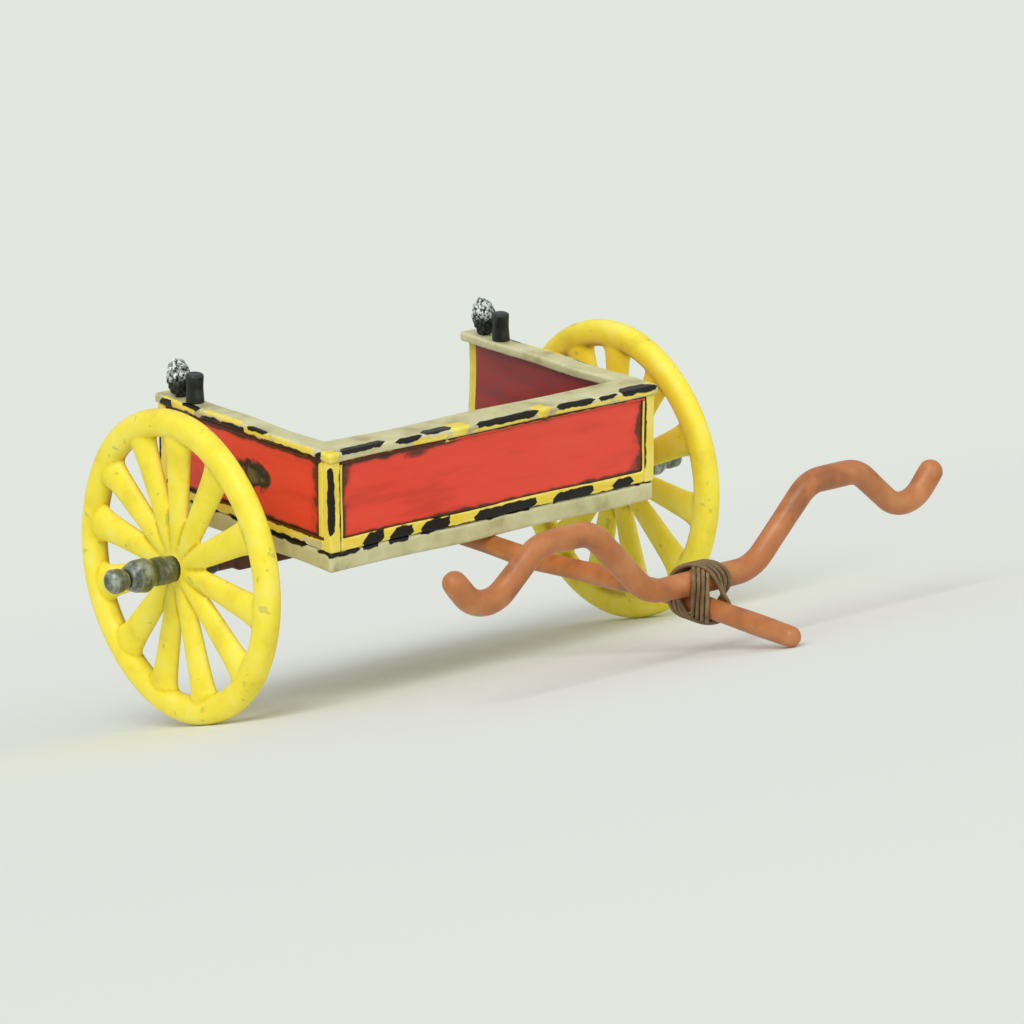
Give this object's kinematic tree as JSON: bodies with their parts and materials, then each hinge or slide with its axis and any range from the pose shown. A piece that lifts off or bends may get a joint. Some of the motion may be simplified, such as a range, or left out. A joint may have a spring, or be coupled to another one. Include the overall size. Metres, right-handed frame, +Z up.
{
  "type": "toy war chariot",
  "caption": "Small cast white metal toy chariot with an open-backed box, two spoked wheels that turn, a centre pole and a curved yoke.",
  "frame": {"origin": "on the ground straight under the middle of the axle, with the chariot parked nose down on its pole end", "axes": "+Z up, +X to the chariot's left along the axle, -Y towards the pole end, which is the direction of travel"},
  "size_m": [0.0288, 0.029, 0.0142],
  "materials": {
    "yellow": "hand-brushed bright yellow with greenish flecks, satin varnish",
    "red": "hand-brushed bright red with darker streaks, satin varnish",
    "trim": "yellow edging with hand-painted black dashes, satin varnish",
    "tan": "stone tan paint with a wavy black and yellow edge, satin varnish",
    "floor": "dark brown paint with board lines, matt",
    "gunmetal": "dark metallic paint dry-brushed with silver, satin",
    "brown": "red-brown paint, satin varnish",
    "binding": "dark brown cord look, matt",
    "plume": "black with white hand-painted strands, satin"
  },
  "bodies": {
    "root": {"floor_slab": "tan", "deck": "floor", "front_panel": "red", "left_panel": "red", "right_panel": "red", "front_trim": "trim", "left_trim": "trim", "right_trim": "trim", "front_left_post": "trim", "front_right_post": "trim", "rear_left_post": "trim", "rear_right_post": "trim", "top_rail": "tan", "axle_beam": "brown", "left_axle_cap": "gunmetal", "right_axle_cap": "gunmetal", "pole": "brown", "yoke": "brown", "yoke_lashing": "binding", "left_plume_socket": "plume", "right_plume_socket": "plume", "left_plume": "plume", "right_plume": "plume"},
    "right_wheel": {"right_wheel_rim": "yellow", "right_wheel_spokes": "yellow", "right_nave": "gunmetal"},
    "left_wheel": {"left_wheel_rim": "yellow", "left_wheel_spokes": "yellow", "left_nave": "gunmetal"}
  },
  "joints": [
    {"name": "right_wheel_spin", "type": "hinge", "parent": "root", "child": "right_wheel", "pos_m": [-0.0111, 0, 0.00625], "axis": [1, 0, 0], "continuous": true},
    {"name": "left_wheel_spin", "type": "hinge", "parent": "root", "child": "left_wheel", "pos_m": [0.0111, 0, 0.00625], "axis": [1, 0, 0], "continuous": true}
  ]
}
